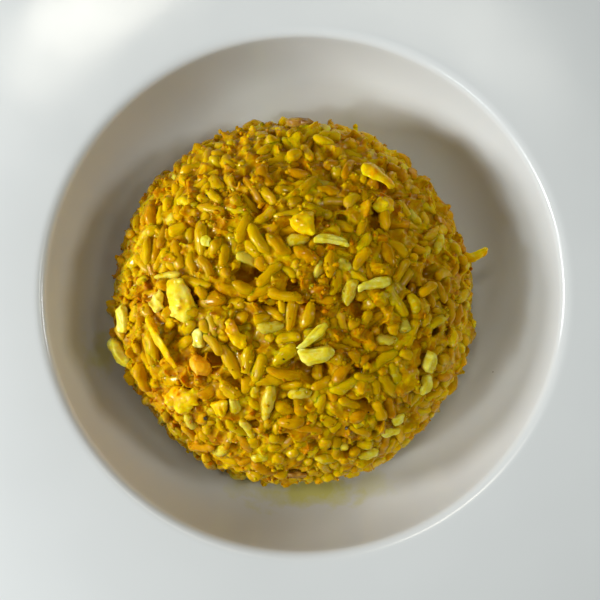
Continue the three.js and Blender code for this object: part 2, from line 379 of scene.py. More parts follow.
def crumb_material():
    shader = food_shader("egg_crumb", 2.2, 0.9)
    ambers = [(0.0, (0.54, 0.18, 0.0003)), (0.3, (0.69, 0.315, 0.0003))]
    ambers += [(0.7, (0.78, 0.45, 0.0004)), (1.0, (0.86, 0.62, 0.001))]
    # The dark brown (0.34, 0.13, 0.0002) is the painted shade colour of the hollows.
    colour_by_tone(shader, ambers, (0.34, 0.13, 0.0002), 1.4, (0.92, 1.04), (0.70, 0.91))
    wet(shader, 1.6, (0.53, 0.58), 0.65, 1.1, 0.08, 0.08)
    return shader.material


def egg_material(name, *stops):
    """Cooked yolk, mottled in patches from deeper to paler yellow."""
    shader = food_shader(name, 2.2, 0.75)
    shader.feed("Base Color", shader.ramp(shader.cloud(4.5, 3.0), stops))
    wet(shader, 2.0, (0.48, 0.55), 0.9, 1.4, 0.07, 0.12)
    return shader.material


def pale_material(name, *stops, seep_share=0.7):
    """Vegetable or egg white, mottled and see-through."""
    shader = food_shader(name, 2.4, seep_share, (1.0, 0.75, 0.3), (1.0, 0.95, 0.6))
    shader.feed("Base Color", shader.ramp(shader.cloud(2.2, 3.0), stops))
    wet(shader, 1.8, (0.42, 0.48), 0.8, 1.3, 0.07, 0.1)
    return shader.material


def food_materials():
    yolk = ((0.34, (0.82, 0.36, 0.0006)), (0.44, (0.90, 0.53, 0.0008)))
    yolk += ((0.60, (0.94, 0.65, 0.0015)), (0.72, (0.96, 0.74, 0.02)))
    pale_yolk = ((0.34, (0.88, 0.55, 0.002)), (0.5, (0.91, 0.68, 0.02)), (0.68, (0.93, 0.78, 0.14)))
    orange_yolk = ((0.34, (0.70, 0.22, 0.001)), (0.5, (0.86, 0.37, 0.002)), (0.68, (0.93, 0.50, 0.01)))
    egg_white = ((0.3, (0.86, 0.64, 0.02)), (0.5, (0.88, 0.73, 0.09)), (0.7, (0.92, 0.82, 0.26)))
    cabbage = ((0.32, (0.78, 0.56, 0.003)), (0.48, (0.84, 0.69, 0.03)), (0.66, (0.90, 0.81, 0.16)))
    shallot = ((0.3, (0.22, 0.08, 0.01)), (0.5, (0.40, 0.20, 0.02)), (0.7, (0.55, 0.36, 0.06)))
    pepper = ((0.3, (0.012, 0.008, 0.004)), (0.5, (0.03, 0.018, 0.008)), (0.7, (0.07, 0.04, 0.015)))
    return {
        "rice": rice_material(),
        "crumb": crumb_material(),
        "egg": egg_material("egg", *yolk),
        "pale_egg": egg_material("pale_egg", *pale_yolk),
        "orange_egg": egg_material("orange_egg", *orange_yolk),
        "egg_white": pale_material("egg_white", *egg_white),
        "cabbage": pale_material("cabbage", *cabbage),
        "shallot": pale_material("shallot", *shallot),
        "pepper": pale_material("pepper", *pepper, seep_share=0.0),
    }


# ---- Plate ----


def bezier(controls, steps):
    """Points of a Bezier curve, which starts and ends on its outer control points."""
    t = np.linspace(0, 1, steps + 1)[:, None]
    last = len(controls) - 1
    numbered = enumerate(np.array(controls, float))
    return sum(math.comb(last, k) * (1 - t) ** (last - k) * t**k * point for k, point in numbered)


WELL_CURVE = (
    (FLOOR_RADIUS, FLOOR_HEIGHT),
    (WELL_RADIUS - 12, FLOOR_HEIGHT),
    (WELL_RADIUS - 5.5, FLOOR_HEIGHT + 11),
    (WELL_RADIUS - 1.5, WELL_EDGE_HEIGHT - WELL_EDGE_ROUND),
)
well_points = bezier(WELL_CURVE, 60)


def well_height(points):
    """Height of the well's inside under each point."""
    return np.interp(np.hypot(points[:, 0], points[:, 1]), well_points[:, 0], well_points[:, 1])


def plate_profile():
    """Section of the plate, from the middle of its floor over the rim to the middle underneath."""
    inner = bezier(WELL_CURVE, 36)
    rim_start = (WELL_RADIUS + WELL_EDGE_ROUND, WELL_EDGE_HEIGHT + 0.2)
    edge = bezier((inner[-1], (WELL_RADIUS - 1, WELL_EDGE_HEIGHT), rim_start), 8)
    turn = np.linspace(math.pi / 2, -math.pi / 2, 13)
    lip = LIP_ROUND * np.column_stack([np.cos(turn), np.sin(turn)])
    lip += [PLATE_RADIUS - LIP_ROUND, LIP_HEIGHT - LIP_ROUND]
    along = np.gradient(inner, axis=0)
    along /= np.linalg.norm(along, axis=1, keepdims=True)
    outer = inner + WALL_THICKNESS * np.stack([along[:, 1], -along[:, 0]], axis=1)
    under = (WELL_RADIUS + 13, WELL_EDGE_HEIGHT - RIM_THICKNESS + 0.8)
    wall_top = outer[32]
    below = bezier((under, (wall_top[0] + 0.8, under[1] - 1), wall_top), 8)
    inside = FOOT_RADIUS - FOOT_WIDTH
    foot = [(FOOT_RADIUS, FOOT_DEPTH - 1), (FOOT_RADIUS - 0.2, 0.6), (FOOT_RADIUS - 0.7, 0)]
    foot += [(inside + 0.7, 0), (inside + 0.2, 0.6), (inside - 0.35, FOOT_DEPTH)]
    return np.vstack([inner, edge[1:], lip, below, outer[31:5:-2], foot])


def build_plate():
    around = 256
    profile = plate_profile()
    turn = np.linspace(0, 2 * math.pi, around, endpoint=False)
    radius = profile[:, :1]
    height = np.repeat(profile[:, 1:], around, axis=1)
    rings = np.stack([radius * np.cos(turn), radius * np.sin(turn), height], axis=-1)
    points = np.vstack([[[0, 0, FLOOR_HEIGHT]], rings.reshape(-1, 3), [[0, 0, FOOT_DEPTH]]])
    faces = ring_faces(len(profile), around)
    add_piece("plate_glazed", points, faces, glaze_material(), "porcelain", "plate")


# ---- Mound surface ----


def mound_share(points):
    """How far out each point is: below 1 inside the mound's even shape, and 1 on its surface."""
    reach = np.hypot(points[:, 0] - MOUND_CENTRE[0], points[:, 1] - MOUND_CENTRE[1]) / MOUND_RADIUS
    rise = np.maximum(points[:, 2] - MOUND_BASE, 0) / MOUND_HEIGHT
    return (reach**MOUND_FULLNESS + rise**MOUND_FULLNESS) ** (1 / MOUND_FULLNESS)


def mound_outward(points):
    """Outward direction of the even shape, and how fast mound_share grows along it."""
    flat = points[:, :2] - MOUND_CENTRE
    reach = np.hypot(flat[:, 0], flat[:, 1]) + 1e-9
    share = mound_share(points) + 1e-9
    power = MOUND_FULLNESS - 1
    sideways = (reach / MOUND_RADIUS / share) ** power / MOUND_RADIUS
    upward = (np.maximum(points[:, 2] - MOUND_BASE, 0) / MOUND_HEIGHT / share) ** power / MOUND_HEIGHT
    slope = np.column_stack([flat[:, 0] / reach * sideways, flat[:, 1] / reach * sideways, upward])
    length = np.linalg.norm(slope, axis=1)
    return slope / length[:, None], length


def mound_distance(points):
    """Distance of each point from the even surface, below 0 inside, and the outward direction."""
    outward, slope = mound_outward(points)
    return (mound_share(points) - 1) / slope, outward


def mound_over(x, y):
    """Point of the even surface over a place on the plate."""
    share = math.hypot(x - MOUND_CENTRE[0], y - MOUND_CENTRE[1]) / MOUND_RADIUS
    height = MOUND_HEIGHT * (1 - min(share, 1) ** MOUND_FULLNESS) ** (1 / MOUND_FULLNESS)
    return np.array([x, y, MOUND_BASE + height])


def mound_points(slant, turn):
    """Points of the even surface: slant 0 is the top and a quarter turn the foot."""
    slant, turn = np.broadcast_arrays(slant, turn)
    radius = MOUND_RADIUS * np.sin(slant) ** (2 / MOUND_FULLNESS)
    height = MOUND_HEIGHT * np.maximum(np.cos(slant), 0) ** (2 / MOUND_FULLNESS)
    x = MOUND_CENTRE[0] + radius * np.cos(turn)
    y = MOUND_CENTRE[1] + radius * np.sin(turn)
    return np.stack([x, y, MOUND_BASE + height], axis=-1)


def waviness(points):
    """How far the heap's outline swells out of its even shape."""
    return 1.1 * noise(points, 17, 3) + 0.8 * noise(points, 8, 5)


# ---- Packing of the grains and crumbs ----

SHELL = 7.5  # how deep under the surface the loose ones lie


def pairs_within(points, reach):
    """Numbers of all pairs of points that lie within about that distance of each other."""
    cell = np.floor(points / reach).astype(np.int64)
    cell -= cell.min(axis=0) - 1
    size = cell.max(axis=0) + 2
    key = (cell[:, 0] * size[1] + cell[:, 1]) * size[2] + cell[:, 2]
    order = np.argsort(key, kind="stable")
    sorted_key = key[order]
    found = []
    for dx, dy, dz in itertools.product((0, 1), (-1, 0, 1), (-1, 0, 1)):
        if (dx, dy, dz) < (0, 0, 0):
            continue
        other = key + (dx * size[1] + dy) * size[2] + dz
        start = np.searchsorted(sorted_key, other, "left")
        end = np.searchsorted(sorted_key, other, "right")
        for step in range(int((end - start).max())):
            here = np.nonzero(start + step < end)[0]
            there = order[start[here] + step]
            if (dx, dy, dz) == (0, 0, 0):
                keep = here < there
                here, there = here[keep], there[keep]
            found.append(np.stack([here, there], axis=1))
    return np.concatenate(found)


def sum_by(index, values, count):
    """Sum of rows of values for each index."""
    return np.stack([np.bincount(index, values[:, axis], count) for axis in range(3)], axis=1)


class Heap:
    """Bodies made of a row of balls along an axis, pressed out against the inside of a mould."""

    def __init__(self, centre, axis, balls, proud, heavy):
        """balls: for each body, a list of (offset along the axis, radius).

        proud is how far each body may stand out of the mould, and heavy its weight, infinite if it is fixed.
        """
        self.centre = centre
        self.axis = axis
        self.proud = proud
        self.owner = np.concatenate([np.full(len(row), body) for body, row in enumerate(balls)])
        self.offset = np.concatenate([[ball[0] for ball in row] for row in balls])
        self.radius = np.concatenate([[ball[1] for ball in row] for row in balls])
        self.weight = heavy[self.owner]
        self.loose = np.isfinite(heavy)
        self.spread = np.bincount(self.owner, self.offset**2, len(centre))
        self.spread /= np.bincount(self.owner, minlength=len(centre))

    def touching(self, place):
        """Pairs of balls that overlap, and how far to move the first of each out of the second."""
        pair = pairs_within(place, 2 * self.radius.max())
        pair = pair[self.owner[pair[:, 0]] != self.owner[pair[:, 1]]]
        gap = place[pair[:, 0]] - place[pair[:, 1]]
        distance = np.linalg.norm(gap, axis=1) + 1e-9
        overlap = self.radius[pair].sum(axis=1) - distance
        move = gap / distance[:, None] * overlap[:, None]
        return pair[overlap > 0], move[overlap > 0]

    def step(self, pull):
        """Moves all bodies outwards by pull, and then pushes them apart and back inside the mould."""
        count = len(self.centre)
        self.centre[self.loose] += pull * mound_outward(self.centre)[0][self.loose]
        place = self.centre[self.owner] + self.axis[self.owner] * self.offset[:, None]

        pair, move = self.touching(place)
        fixed = np.isinf(self.weight[pair])
        weight = np.where(fixed, 1.0, self.weight[pair])
        share = np.select([fixed[:, 1], fixed[:, 0]], [1.0, 0.0], weight[:, 1] / weight.sum(axis=1))
        push = np.zeros_like(place)
        push += sum_by(pair[:, 0], move * share[:, None], len(place))
        push -= sum_by(pair[:, 1], move * (1 - share)[:, None], len(place))
        touched = np.bincount(pair.ravel(), minlength=len(place)).astype(float)

        beyond, outward = mound_distance(place)
        too_far = beyond - waviness(self.centre)[self.owner] + self.radius - self.proud[self.owner]
        too_low = well_height(place) + self.radius - place[:, 2]
        for excess, direction in ((too_far, -outward), (-SHELL - beyond, outward), (too_low, UP)):
            push += direction * np.maximum(excess, 0)[:, None]
            touched += excess > 0

        hits = np.bincount(self.owner, touched, count)[:, None]
        lever = np.bincount(self.owner, touched * self.offset**2, count)[:, None]
        shift = sum_by(self.owner, push, count) / (hits + 1)
        along = (push * self.axis[self.owner]).sum(axis=1, keepdims=True)
        across = (push - along * self.axis[self.owner]) * self.offset[:, None]
        twist = sum_by(self.owner, across, count) / (lever + self.spread[:, None] + 1e-6)
        self.centre[self.loose] += 1.5 * shift[self.loose]
        self.axis[self.loose] += twist[self.loose]
        self.axis /= np.linalg.norm(self.axis, axis=1, keepdims=True)


def scatter_in_shell(count):
    """Random places inside the mound, in the shell under its surface."""
    places = np.empty((0, 3))
    top = MOUND_BASE + MOUND_HEIGHT
    while len(places) < count:
        trial = RANDOM.uniform([-1, -1, 0], [1, 1, 1], (4 * count, 3))
        trial = trial * [MOUND_RADIUS, MOUND_RADIUS, top] + [*MOUND_CENTRE, 0]
        depth = -mound_distance(trial)[0]
        fits = (depth > 1) & (depth < SHELL) & (trial[:, 2] > well_height(trial) + 1)
        places = np.vstack([places, trial[fits]])
    return places[:count]


LOOSE_GRAINS = 1220
BROKEN_SHARE = 0.32
GRAIN_LENGTH = 8.9
GRAIN_WIDTH = 3.6
GRAIN_WEIGHT = 5.0  # where a crumb's is 1
LOOSE_CRUMBS = 1900
SOFTNESS = 0.92  # of its own radius, at which a body pushes others away
PULL = 0.22  # how far the first step pulls all bodies outwards
PULLING_STEPS = 60
SETTLING_STEPS = 15

# Grains whose places are known: x, y, length, width and the turn of the long way from +X in degrees.
KNOWN_GRAINS = (
    (-37.0, 11.5, 10.7, 4.0, -65), (-7.3, 14.1, 9.7, 4.0, -45), (0.7, 11.3, 8.5, 4.3, -30),
    (7.7, 8.5, 8.5, 3.9, 88), (-3.3, -5.1, 11.3, 3.9, 80), (0.9, -5.6, 8.4, 3.4, 72),
    (-9.5, -9.4, 8.0, 3.4, 6), (-4.4, -12.8, 7.4, 3.9, 8), (-21.2, -19.6, 13.0, 4.4, -62),
    (-21.2, -27.7, 7.6, 3.7, -40), (-10.3, -31.8, 12.6, 4.1, 79), (-3.4, -37.6, 8.8, 3.8, 3),
    (-12.7, -21.0, 9.6, 3.7, 68), (25.2, -27.4, 10.2, 3.9, -48), (11.9, -26.2, 9.5, 3.8, 25),
    (29.0, 7.0, 9.4, 3.6, 52), (27.5, -2.0, 11.0, 4.0, -52), (24.1, 22.8, 9.2, 4.1, 86),
)
KNOWN_PROUD = 0.5

# Dark hollows between the grains: x, y and radius.
HOLLOWS = (
    (-16.4, 6.0, 2.8), (-33.8, 16.9, 2.0), (-6.1, 35.5, 1.8), (-11.6, -3.7, 1.8), (-3.4, 2.2, 2.2),
    (2.6, 4.6, 1.8), (-49.8, -17.0, 2.6), (-42.5, -17.6, 2.0), (-25.1, -18.4, 2.4), (-23.5, -26.3, 1.7),
    (-7.8, -15.1, 1.8), (-2.6, -19.2, 2.2), (2.0, -21.6, 3.0), (7.0, -21.4, 2.6), (21.0, -17.8, 2.0),
    (18.8, -33.0, 1.6), (-5.6, -42.8, 1.8), (16.0, -4.3, 2.4), (32.4, 1.7, 1.8), (37.8, 6.1, 1.8),
    (39.2, -11.9, 2.0), (12.3, 22.9, 1.8), (21.0, 20.7, 2.2), (27.5, 17.9, 2.2), (27.5, 29.8, 2.2),
    (40.1, 24.0, 2.2),
)
SMALL_HOLLOWS = 70

PALE_SHARE = 0.08  # of the grains, with little turmeric on them

# Places rich in egg crumbs: x, y, radius and strength.
EGGY_PLACES = (
    (-35, -31, 13, 1.0), (-45, 1, 11, 0.8), (-9, -9, 6, 0.4), (13, -10, 8, 0.7),
    (4, 0, 9, 0.6), (-14, 27, 10, 0.7), (25, 28, 6, 0.7), (0, -44, 9, 0.4),
)


def egginess(points):
    """Share of egg crumbs at each place, from about -0.7 to 1.5."""
    total = 0.6 * noise(points, 12, 61)
    for x, y, radius, strength in EGGY_PLACES:
        total += strength * np.exp(-((points[:, 0] - x) ** 2 + (points[:, 1] - y) ** 2) / radius**2)
    return total


def surface_frame(x, y, turn):
    """Place on the even surface over (x, y), its outward direction, and a direction along it."""
    place = mound_over(x, y)
    outward = mound_outward(place[None])[0][0]
    along = np.array([math.cos(math.radians(turn)), math.sin(math.radians(turn)), 0.0])
    along -= outward * (along @ outward)
    return place, outward, along / np.linalg.norm(along)


def ball_row(length, width):
    """Balls along a grain: offset along its axis, and radius."""
    reach = length / 2 - 0.84 * width / 2
    shares = ((-1, 0.84), (-0.5, 0.97), (0, 1.0), (0.5, 0.97), (1, 0.84))
    return [(reach * along, SOFTNESS * width / 2 * thick) for along, thick in shares]


def hollow_places():
    """The hollows at the even surface, as (x, y, z, radius)."""
    places = [(*mound_over(x, y), radius) for x, y, radius in HOLLOWS]
    slant = np.arccos(RANDOM.uniform(0.05, 1, SMALL_HOLLOWS))
    small = mound_points(slant, RANDOM.uniform(0, 2 * math.pi, SMALL_HOLLOWS))
    return np.vstack([places, np.column_stack([small, RANDOM.uniform(1.2, 2.0, SMALL_HOLLOWS)])])


def hollow_balls(hollows):
    """Fixed balls that keep the hollows free, each most of its depth under the surface."""
    sunk = hollows.copy()
    sunk[:, :3] -= mound_outward(hollows[:, :3])[0] * 0.6 * hollows[:, 3:]
    return sunk


def unit(vectors):
    """The vectors at a length of 1."""
    return vectors / np.linalg.norm(vectors, axis=-1, keepdims=True)


def pack_heap(fixed):
    """Packs the grains and crumbs round the known grains and the fixed balls.

    Gives the heap, the grains' lengths and widths, and the crumbs' radii.
    """
    known = len(KNOWN_GRAINS)
    frames = [surface_frame(x, y, turn) for x, y, _, _, turn in KNOWN_GRAINS]
    known_length, known_width = np.array(KNOWN_GRAINS)[:, 2:4].T
    sunk = [out * (KNOWN_PROUD - wide / 2) for (_, out, _), wide in zip(frames, known_width)]
    known_centre = np.array([place for place, _, _ in frames]) + sunk
    length = np.clip(RANDOM.normal(GRAIN_LENGTH, 1.2, LOOSE_GRAINS), 6.5, 12.0)
    broken = RANDOM.random(LOOSE_GRAINS) < BROKEN_SHARE
    length[broken] *= RANDOM.uniform(0.45, 0.75, broken.sum())
    width = np.clip(RANDOM.normal(GRAIN_WIDTH, 0.32, LOOSE_GRAINS), 2.9, 4.4)
    length = np.concatenate([known_length, length])
    width = np.concatenate([known_width, width])
    grains = len(length)
    crumb_size = 0.8 + 1.4 * RANDOM.random(LOOSE_CRUMBS) ** 2.0
    balls = [ball_row(*size) for size in zip(length, width)]
    balls += [[(0.0, SOFTNESS * size)] for size in crumb_size]
    balls += [[(0.0, radius)] for radius in fixed[:, 3]]
    loose = scatter_in_shell(LOOSE_GRAINS + LOOSE_CRUMBS)
    centre = np.vstack([known_centre, loose, fixed[:, :3]])
    axis = unit(RANDOM.normal(size=(len(centre), 3)))
    outward = mound_outward(centre)[0]
    axis -= 0.6 * outward * (axis * outward).sum(axis=1, keepdims=True)
    axis = unit(axis)
    axis[:known] = [along for _, _, along in frames]
    proud = np.full(len(centre), -0.6)
    proud[:grains] = RANDOM.normal(-0.25, 0.55, grains)
    proud[grains:] += RANDOM.normal(0, 0.5, len(centre) - grains)
    heavy = np.full(len(centre), np.inf)
    heavy[known:grains] = GRAIN_WEIGHT
    heavy[grains : grains + LOOSE_CRUMBS] = 1.0
    heap = Heap(centre, axis, balls, proud, heavy)
    for step in range(PULLING_STEPS):
        heap.step(PULL * (1 - step / PULLING_STEPS) ** 2)
    for _ in range(SETTLING_STEPS):
        heap.step(0.0)
    return heap, length, width, crumb_size


# ---- Rice grains ----


def repeated_faces(faces, count, points_each):
    """The faces of one shape, repeated for that many copies of its points."""
    shift = np.arange(count)[:, None, None] * points_each
    return [(rows[None] + shift).reshape(-1, rows.shape[1]) for rows in faces]


def grain_mesh(shapes, rings, around):
    """Points and faces of many grains. shapes holds each one's points, between its two tips."""
    return shapes.reshape(-1, 3), repeated_faces(ring_faces(rings, around), *shapes.shape[:2])


def local_axes(axis, spin):
    """Two directions across each axis, turned about it by spin."""
    guide = np.where(np.abs(axis[:, 2:]) < 0.8, UP, np.array([1.0, 0.0, 0.0]))
    side = unit(np.cross(axis, guide))
    other = np.cross(axis, side)
    cos, sin = np.cos(spin)[:, None], np.sin(spin)[:, None]
    return side * cos + other * sin, other * cos - side * sin


GRAIN_RINGS = 12
GRAIN_AROUND = 12
BROKEN_LENGTH = 6.5
GRAIN_SEED = 7


def grain_shapes(centre, axis, length, width, rings=GRAIN_RINGS, around=GRAIN_AROUND):
    """Each grain's points, as many blunt, slightly bent and lumpy grains of rice."""
    random = np.random.default_rng(GRAIN_SEED)
    count = len(centre)

    def draw(low, high):
        return random.uniform(low, high, (count, 1))

    side, other = local_axes(axis, random.uniform(0, 2 * math.pi, count))
    along = np.sin(np.linspace(-1, 1, rings + 2)[1:-1] * math.pi / 2)
    turn = np.linspace(0, 2 * math.pi, around, endpoint=False)
    t = np.concatenate([[-1.0], np.repeat(along, around), [1.0]])[None, :]
    turn = np.concatenate([[0.0], np.tile(turn, rings), [0.0]])[None, :]
    profile = np.maximum(1 - np.abs(t) ** draw(2.2, 4.6), 0) ** 0.55
    profile = profile * (1 + draw(-0.2, 0.2) * t)
    waist = 1 + draw(0.0, 0.08) * np.sin(draw(2.0, 5.0) * t + draw(0, 6.3))
    ridge = 1 + draw(0.0, 0.08) * np.sin(2 * turn + draw(0, 6.3) + draw(-1, 1) * t)
    ridge = ridge + draw(0.0, 0.06) * np.sin(3 * turn + draw(0, 6.3) + draw(-2, 2) * t)
    crease = 1 - draw(-0.1, 0.16).clip(0) * np.maximum(np.cos(turn + draw(0, 6.3)), 0) ** 6
    wide = width[:, None] / 2 * profile * waist * ridge * crease
    thick = wide * draw(0.78, 0.95)
    bend = draw(-1.0, 1.0) * (1 - t**2)
    cut = draw(0.6, 2.0)
    x = length[:, None] / 2 * np.where(t > cut, cut + 0.2 * (t - cut), t)
    y = wide * np.cos(turn) + bend
    z = thick * np.sin(turn)
    spots = np.repeat(9.1 * np.arange(count), t.shape[1])[:, None]
    local = np.stack([x, y, z], axis=-1).reshape(-1, 3) + spots
    dent = 1 + 0.24 * noise(local, 2.2, 13) + 0.19 * noise(local, 1.1, 14)
    y, z = y * dent.reshape(count, -1), z * dent.reshape(count, -1)
    points = centre[:, None, :] + x[..., None] * axis[:, None, :]
    return points + y[..., None] * side[:, None, :] + z[..., None] * other[:, None, :]


def grain_skin(shapes):
    """Points of grains and their outward directions."""
    sides = shapes[:, 1:-1]
    middle = sides.reshape(len(shapes), GRAIN_RINGS, GRAIN_AROUND, 3).mean(axis=2)
    outward = sides - middle.repeat(GRAIN_AROUND, axis=1)
    outward /= np.linalg.norm(outward, axis=2, keepdims=True) + 1e-9
    return sides.reshape(-1, 3), outward.reshape(-1, 3)


def painted_hollow_shade(points):
    """Share of painted shade, from 0 near the heap's surface to 1 deep in a hollow."""
    return np.clip((waviness(points) - mound_distance(points)[0] - 1.0) / 3.8, 0, 1)


def add_small_things(name, points, faces, tone, material, slot):
    """One mesh of many small things. tone holds the lightness and hue of each, and painted shade for the
    hollows is added to it.
    """
    tones = np.repeat(tone, len(points) // len(tone), axis=0)
    # Third tone channel: painted shade, darker deep in the hollows.
    tones = np.column_stack([tones, painted_hollow_shade(points)])
    add_piece(name, points, faces, material, slot, tone=tones)


# ---- Egg crumbs ----

CRUMB_CUTS = 9


def points_and_faces(made):
    """The points and triangles of a bmesh, which is then freed."""
    points = np.array([vertex.co for vertex in made.verts])
    faces = np.array([[vertex.index for vertex in face.verts] for face in made.faces])
    made.free()
    return points, faces


def ball_template(level):
    """Points on a ball of radius 1 and its triangles."""
    made = bmesh.new()
    bmesh.ops.create_icosphere(made, subdivisions=level, radius=1.0)
    return points_and_faces(made)


def crumb_points(centre, size, seed, level):
    """Points and faces of many angular crumbs: balls of unequal sides, cut flat in several places."""
    random = np.random.default_rng(seed)
    ball, faces = ball_template(level)
    count, each = len(centre), len(ball)
    cuts = unit(random.normal(size=(count, CRUMB_CUTS, 3)))
    reach = random.uniform(0.35, 0.9, (count, CRUMB_CUTS, 1))
    toward = cuts @ ball.T
    share = np.where(toward > 0.01, reach / np.maximum(toward, 0.01), 1).min(axis=1)
    cut = ball[None] * np.minimum(share, 1)[..., None] * random.uniform(0.8, 1.8, (count, 1, 3))
    axis = unit(random.normal(size=(count, 3)))
    side, other = local_axes(axis, random.uniform(0, 6.28, count))
    turned = cut[..., :1] * axis[:, None] + cut[..., 1:2] * side[:, None] + cut[..., 2:] * other[:, None]
    where = (ball[None] * size[:, None, None] + 7.7 * np.arange(count)[:, None, None]).reshape(-1, 3)
    rough = 0.22 * noise(where, 0.9, seed) + 0.14 * noise(where, 0.45, seed + 1)
    points = turned * size[:, None, None] * (1 + rough.reshape(count, each, 1))
    return (points + centre[:, None]).reshape(-1, 3), repeated_faces([faces], count, each)


# ---- Sticky mass of egg and broken rice around the grains ----

BED_DEPTH = 2.9
VOXEL = 0.64
COAT_RINGS = 7
COAT_AROUND = 8
CUT_OVERLAP = 1.0

# The shapes in the mass are swollen by this much before they fuse, and the skin goes back in by as much,
# so that it fills the narrow creases between them.
CREASE_FILL = 0.35
HOLLOW_DEPTH = 3.5


def bed_points(hollows, front):
    """The crumbly inside of the heap's front or back half, which shows deep between the grains."""
    rings, around = 90, 180
    slant = (math.pi / 2) * (np.arange(1, rings + 1) / rings) ** 0.9
    turn = np.linspace(0, 2 * math.pi, around, endpoint=False)
    even = mound_points(slant[:, None], turn[None, :]).reshape(-1, 3)
    top = mound_points(np.array([0.0]), np.array([0.0]))
    bottom = np.array([[*MOUND_CENTRE, FLOOR_HEIGHT + 1]])
    points = np.vstack([top, even, bottom])
    relief = 1.4 * lumps(points, 3.4, 21) + 0.9 * noise(points, 7.0, 9) - 0.9
    for hollow in hollows:
        distance = np.linalg.norm(points - hollow[:3], axis=1)
        relief -= HOLLOW_DEPTH * np.exp(-((distance / hollow[3]) ** 2) / 2)
    out = waviness(points) - BED_DEPTH + relief + CREASE_FILL
    moved = points + mound_outward(points)[0] * out[:, None]
    moved[-1] = bottom
    if front:
        moved[:, 1] = np.minimum(moved[:, 1], MOUND_CENTRE[1] + CUT_OVERLAP)
    else:
        moved[:, 1] = np.maximum(moved[:, 1], MOUND_CENTRE[1] - CUT_OVERLAP)
    return moved, ring_faces(rings, around)


def fused(parts, voxel):
    """The one skin around many closed shapes: its points, four-cornered faces and outward directions."""
    count, points, faces = 0, [], []
    for part_points, part_faces in parts:
        points.append(part_points)
        faces += [rows + count for rows in part_faces]
        count += len(part_points)
    source = mesh_object("fuse_source", np.vstack(points), faces, None)
    modifier = source.modifiers.new("fuse", "REMESH")
    modifier.mode = "VOXEL"
    modifier.voxel_size = voxel * MM
    skin = source.evaluated_get(bpy.context.evaluated_depsgraph_get()).to_mesh()
    points = np.empty(3 * len(skin.vertices), np.float32)
    normals = np.empty(3 * len(skin.vertices), np.float32)
    corners = np.empty(len(skin.loops), np.int32)
    skin.vertices.foreach_get("co", points)
    skin.vertices.foreach_get("normal", normals)
    skin.loops.foreach_get("vertex_index", corners)
    bpy.data.objects.remove(source)
    points = points.reshape(-1, 3).astype(float) / MM
    return points, corners.reshape(-1, 4), normals.reshape(-1, 3).astype(float)


def eased(points, quads, rounds, share=0.5):
    """Points moved towards the middle of their neighbours."""
    start = quads.T.ravel()
    end = np.roll(quads, -1, axis=1).T.ravel()
    near = np.bincount(start, minlength=len(points))[:, None]
    for _ in range(rounds):
        middle = sum_by(start, points[end], len(points)) / near
        points = points + share * (middle - points)
    return points


def build_mass(name, parts, material):
    """One half of the sticky mass. Gives its points and outward directions."""
    points, quads, normals = fused(parts, VOXEL)
    points = eased(points, quads, 1, 0.4)
    large = cells(points, 3.0, 51)
    small = cells(points, 1.7, 52)
    relief = 0.34 * crags(*large, 0.22, 51) + 0.2 * crags(*small, 0.25, 52) - CREASE_FILL
    owners_and_seeds = ((large[0], 71), (large[0], 73), (small[0], 72), (small[0], 74))
    hue, shade, other_hue, other_shade = (cell_random(*pair) - 0.5 for pair in owners_and_seeds)
    hue = 0.55 - 0.3 * egginess(points) + 0.5 * hue + 0.5 * other_hue
    shade = 0.5 + 0.4 * shade + 0.5 * other_shade + 0.4 * noise(points, 14, 62)
    points = eased(points + normals * relief[:, None], quads, 1, 0.25)
    # The third tone channel is painted shade, darker deep in the hollows.
    tone = np.column_stack([np.clip(shade, 0, 1), np.clip(hue, 0, 1), painted_hollow_shade(points)])
    add_piece(name, points, [quads], material, "rice", "rice_mound", tone)
    return points, normals


def build_mass_halves(heap, coated, crumb_size, hollows, material):
    """The sticky mass in a front and a back half. coated holds the points of each coated grain."""
    count = len(coated)
    front = heap.centre[:, 1] < MOUND_CENTRE[1]
    skins = []
    for name, half in (("egg_mass_front", front), ("egg_mass_back", ~front)):
        crumbs = np.nonzero(half[count : count + LOOSE_CRUMBS])[0]
        parts = [
            bed_points(hollows, name == "egg_mass_front"),
            grain_mesh(coated[half[:count]], COAT_RINGS, COAT_AROUND),
            crumb_points(heap.centre[count + crumbs], crumb_size[crumbs] + CREASE_FILL, 8, 2),
        ]
        skins.append(build_mass(name, parts, material))
    return skins


# ---- Toppings ----


def merged_mesh(node):
    """Points and triangles of a CAD node, with its doubled corners merged."""
    made = bmesh.new()
    made.from_mesh(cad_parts[node].data)
    bmesh.ops.remove_doubles(made, verts=made.verts, dist=0.01 * MM)
    points, faces = points_and_faces(made)
    return points / MM, faces


TOPPING_BALL = 0.8
TOPPING_SEED = 200


def topping_balls(points):
    """Fixed balls just inside a topping's skin, as (x, y, z, radius)."""
    middle = points.mean(axis=0)
    inward = middle - points
    distance = np.linalg.norm(inward, axis=1, keepdims=True)
    inside = points + inward / distance * np.minimum(TOPPING_BALL, 0.8 * distance)
    deep = points + inward / distance * np.minimum(2.2 * TOPPING_BALL, 0.9 * distance)
    return [(*place, TOPPING_BALL) for place in np.vstack([inside, deep[::2]])] + [(*middle, TOPPING_BALL)]


def long_axes(points):
    """Middle of a shape, and its long, middle and short directions with their whole lengths."""
    mean = points.mean(axis=0)
    axes = np.linalg.svd(points - mean, full_matrices=False)[2]
    reach = (points - mean) @ axes.T
    low, high = reach.min(axis=0), reach.max(axis=0)
    return mean + (high + low) / 2 @ axes, axes, high - low


